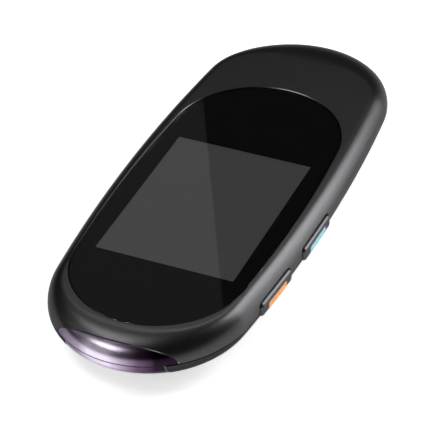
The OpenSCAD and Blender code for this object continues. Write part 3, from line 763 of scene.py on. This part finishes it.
def build_glass():
    """The cover glass: clear, polished edges, black print on its back round the picture area."""
    angles = glass.angles()
    low, high = GLASS_LOW.z + PRINT_GAP, GLASS_HIGH.z
    edge = quarter_round(GLASS_EDGE, 5)
    levels = [(low + depth, inset) for depth, inset in edge[::-1]]
    levels += [(high - depth, inset) for depth, inset in edge]
    pane = loft("cover_glass_pane", [[(*glass.point(a, inset), z) for a in angles] for z, inset in levels])
    finish_with(pane, clear_glass(), back_print())
    mesh = bmesh.new()
    mesh.from_mesh(pane.data)
    half_w, half_l = SCREEN_WIDTH / 2 * MM, SCREEN_LENGTH / 2 * MM
    middle = Vector((OPENING_X, OPENING_Y, 0)) * MM
    for side in (Vector((half_w, 0, 0)), Vector((-half_w, 0, 0)),
                 Vector((0, half_l, 0)), Vector((0, -half_l, 0))):
        lower = [f for f in mesh.faces if f.calc_center_median().z < (low + 0.01) * MM]
        geometry = lower + [e for f in lower for e in f.edges] + [v for f in lower for v in f.verts]
        bmesh.ops.bisect_plane(mesh, geom=list(dict.fromkeys(geometry)), plane_co=middle + side,
                               plane_no=side.normalized())
    for f in mesh.faces:
        c = f.calc_center_median()
        in_window = abs(c.x - middle.x) < half_w and abs(c.y - middle.y) < half_l
        if c.z < (low + 0.01) * MM and not in_window:
            f.material_index = 1
    mesh.to_mesh(pane.data)
    mesh.free()
    shade(pane, 40)
    # The large faces mirror straight lines only with flat normals
    for face in sorted(pane.data.polygons, key=lambda f: f.area)[-4:]:
        face.use_smooth = False
    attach(pane, "housing")
    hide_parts("cover_glass")


# ---- Light window ----


def build_lens():
    """The light window: a dome above the seam, a groove along the seam and a band below it."""
    sunk = {"inset": LENS_SINK, "under": LENS_SINK}
    outer = upper_solid("lens_outer", below=0.2, **sunk)
    combine(outer, "UNION", lower_solid("lens_lower", base=LENS_SINK, above=0.2, **sunk))
    source = normal_source(outer)
    hollow = {"inset": WALL + 1, "under": 3.0, "steps": 14}
    inner = upper_solid("lens_inner", below=0.2, **hollow)
    combine(inner, "UNION", lower_solid("inner_low", base=3.0, above=0.2, **hollow))
    combine(outer, "DIFFERENCE", inner, seam_groove())
    combine(outer, "INTERSECT", window_cutter(-WINDOW_GAP, LENS_BACK_Y, flare=LENS_FLARE))
    outer.name = "nose_lens"
    finish_with(outer, violet_lens_painted_light(), lens_edge_painted_shade)
    # Faces off the outer surface, such as the groove and the rounded edge, take the painted shade
    for face in outer.data.polygons:
        if sunk_below(source, face) > 0.02:
            face.material_index = 1
    shade(outer, 30, source)
    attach(outer, "housing")
    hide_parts("front_lens")


def seam_groove():
    """Cutter for a V groove round the outline at the seam's height."""
    groove = outline_solid("groove", -1.0, SEAM_Z - GROOVE_HALF, SEAM_Z + GROOVE_HALF)
    profile = [(-2, 0.0), (-1, GROOVE_LIP), (0, GROOVE_DEPTH), (1, GROOVE_LIP), (2, 0.0)]
    core = loft("core", [flat_ring(SEAM_Z + share * GROOVE_HALF, inset) for share, inset in profile])
    return combine(groove, "DIFFERENCE", core)


# ---- Side buttons ----


def face_out(up):
    """How far out of the side a button's slightly crowned face is, at a height above the button's middle."""
    return BUTTON_PROUD - BUTTON_CROWN * (2 * up / BUTTON_HEIGHT) ** 2


def build_button(colour, film):
    """A cap with softly rounded edges, and the coloured inlay in its face."""
    place = on_side(BUTTON_YS[colour])
    rings = []
    for depth, inset in [(2.6, 0.0)] + quarter_round(BUTTON_EDGE, 9):
        outline = pill(BUTTON_LENGTH - 2 * inset, BUTTON_HEIGHT - 2 * inset, BUTTON_CORNER - inset)
        rings.append([(face_out(up) - depth, along, BUTTON_Z + up) for along, up in outline])
    for share in (0.75, 0.5, 0.25):  # rings across the crowned face
        rings.append([(face_out(up * share), along * (0.7 + 0.3 * share), BUTTON_Z + up * share)
                      for along, up in outline])
    cap = loft(f"{colour}_cap", [transformed(place, ring) for ring in rings])
    finish_with(cap, button_black)
    shade(cap, 40)
    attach(cap, f"{colour}_button")
    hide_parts(f"{colour}_button_cap")
    drop = STRIPE_Z - BUTTON_Z
    rings = []
    for rise, inset in ((-0.3, 0), (0.02, 0), (0.045, 0.02), (0.055, 0.06)):
        outline = pill(STRIPE_LENGTH - 2 * inset, STRIPE_HEIGHT - 2 * inset, STRIPE_CORNER)
        rings.append([(face_out(drop + up) + rise, along, STRIPE_Z + up) for along, up in outline])
    stripe = loft(f"{colour}_inlay", [transformed(place, ring) for ring in rings])
    finish_with(stripe, film)
    shade(stripe, 40)
    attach(stripe, f"{colour}_button")
    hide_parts(f"{colour}_button_stripe")


build_top_shell()
build_bottom_shell()
build_glass()
build_lens()
build_button("blue", blue_film)
build_button("orange", orange_film)

# ---- CAD nodes that stay, with their own materials ----

steel = metal("tray_steel", (0.60, 0.61, 0.63), 0.35)
foam = plastic("black_foam", (0.03, 0.03, 0.032), 0.9, grain=8000, depth=0.00005)
kapton = plastic("amber_film", (0.50, 0.24, 0.03), 0.3)
kept = {
    "display_panel": screen_surface(),
    "glass_tape": foam, "display_frame": steel, "display_flex": kapton, "display_pad": foam,
    "main_board": plastic("green_solder_mask", (0.01, 0.11, 0.045), 0.3),
    "flex_connector": plastic("cream_plastic", (0.70, 0.66, 0.52), 0.5),
    "microcontroller": plastic("chip_black", (0.02, 0.02, 0.022), 0.55),
    "small_components": plastic("ceramic_parts", (0.42, 0.33, 0.22), 0.5),
    "board_screws": metal("screw_steel", (0.52, 0.53, 0.55), 0.3),
    "aerial_winding": metal("copper_wire", (0.80, 0.35, 0.14), 0.3),
    "battery_cell": metal("battery_foil", (0.62, 0.64, 0.66), 0.4),
    "battery_leads": plastic("lead_red", (0.5, 0.02, 0.02), 0.45),
    "usb_socket": metal("plated_steel", (0.66, 0.67, 0.69), 0.22),
    "lens_reflector": plastic("white_plastic", (0.82, 0.82, 0.84), 0.3),
    "indicator_leds": plastic("led_resin", (0.86, 0.84, 0.60), 0.25),
    "threaded_inserts": metal("insert_brass", (0.78, 0.55, 0.20), 0.35),
    "rating_label": plastic("label_film", (0.36, 0.37, 0.38), 0.4),
}
same = {"reader_chip": "microcontroller", "aerial_bobbin": "flex_connector", "aerial_leads": "aerial_winding",
        "battery_pad": "glass_tape", "battery_connector": "flex_connector", "buzzer": "microcontroller",
        "led_board": "lens_reflector", "led_flex": "display_flex", "blue_switch_body": "display_frame",
        "orange_switch_body": "display_frame", "blue_switch_plunger": "microcontroller",
        "orange_switch_plunger": "microcontroller", "case_screws": "board_screws"}
kept.update({name: kept[like] for name, like in same.items()})
for name, finish in kept.items():
    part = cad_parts[name]
    part.data.materials.clear()
    part.data.materials.append(finish)

# ---- Floor, light and camera ----


def build_stage():
    """A wide white floor just under the scanner, with a little glow of its own to keep it white."""
    half, z = 3000, -0.2
    floor = new_object("floor", [(-half, -half, z), (half, -half, z), (half, half, z), (-half, half, z)],
                       [[0, 1, 2, 3]])

    def build(tree, shader):
        shader.inputs["Roughness"].default_value = 0.1
        tree.links.new(ramp(tree, noise(tree, 3, 2), (0.92, 0.92, 0.92), (0.94, 0.94, 0.94)),
                       shader.inputs["Base Color"])
        shader.inputs["Emission Color"].default_value = (1, 1, 1, 1)
        shader.inputs["Emission Strength"].default_value = FLOOR_GLOW

    floor.data.materials.append(material("pale_floor", build))


def direction(azimuth, elevation):
    """A unit vector, with azimuth in degrees from +Y towards +X."""
    a, e = math.radians(azimuth), math.radians(elevation)
    return Vector((math.sin(a) * math.cos(e), math.cos(a) * math.cos(e), math.sin(e)))


def soft_light(name, azimuth, elevation, size, radiance, distance):
    """A white card of even radiance, facing the object."""
    light = bpy.data.lights.new(name, "AREA")
    light.shape, (light.size, light.size_y) = "RECTANGLE", size
    light.energy = radiance * math.pi * size[0] * size[1]
    lamp = bpy.data.objects.new(name, light)
    bpy.context.scene.collection.objects.link(lamp)
    lamp.location = direction(azimuth, elevation) * distance
    lamp.rotation_euler = (-direction(azimuth, elevation)).to_track_quat("-Z", "Y").to_euler()


def facing(tree, toward):
    """How far the sky's direction points along a vector."""
    dot = node(tree, "ShaderNodeVectorMath", operation="DOT_PRODUCT")
    tree.links.new(node(tree, "ShaderNodeTexCoord").outputs["Generated"], dot.inputs[0])
    dot.inputs[1].default_value = toward
    return dot.outputs["Value"]


def build_sky():
    """Dim all round, so that the cards light the object, with a lighter patch that the glass mirrors.

    The patch ends in a straight edge, which is the glare line on the glass.
    """
    world = bpy.data.worlds.new("studio")
    bpy.context.scene.world = world
    world.use_nodes = True
    tree = world.node_tree
    behind = step_between(tree, facing(tree, direction(*GLASS_MIRROR)), 0.975, 0.985)
    left = calculate(tree, "GREATER_THAN", facing(tree, GLARE_SIDE), 0.0)
    glare = calculate(tree, "MULTIPLY", calculate(tree, "MULTIPLY", behind, left), GLARE)
    background = tree.nodes["Background"]
    background.inputs["Color"].default_value = (1, 1, 1, 1)
    tree.links.new(calculate(tree, "ADD", glare, SKY), background.inputs["Strength"])


def build_light():
    """The sky and the white cards."""
    build_sky()
    for name, card in CARDS.items():
        soft_light(name, *card)
    bpy.context.scene.view_settings.view_transform = "Standard"


def build_camera():
    """A long lens, round towards the button side and up, with a slight roll."""
    azimuth, elevation, roll = (math.radians(d) for d in (CAMERA_AZIMUTH, CAMERA_ELEVATION, CAMERA_ROLL))
    right = Vector((math.cos(azimuth), math.sin(azimuth), 0))
    back = Vector((math.sin(azimuth) * math.cos(elevation), -math.cos(azimuth) * math.cos(elevation),
                   math.sin(elevation)))
    up = back.cross(right)
    right, up = (math.cos(roll) * right + math.sin(roll) * up, -math.sin(roll) * right + math.cos(roll) * up)
    look = Vector((0, SCREEN_Y * MM, GLASS_HIGH.z * MM))
    data = bpy.data.cameras.new("camera")
    data.sensor_width, data.lens = 36, 196.4
    data.clip_start = 0.01
    camera = bpy.data.objects.new("camera", data)
    bpy.context.scene.collection.objects.link(camera)
    place = look - CAMERA_SHIFT_X * right - CAMERA_SHIFT_Y * up + CAMERA_DISTANCE * back
    camera.matrix_world = Matrix.Translation(place) @ Matrix((right, up, back)).transposed().to_4x4()
    bpy.context.scene.camera = camera


build_stage()
build_light()
build_camera()
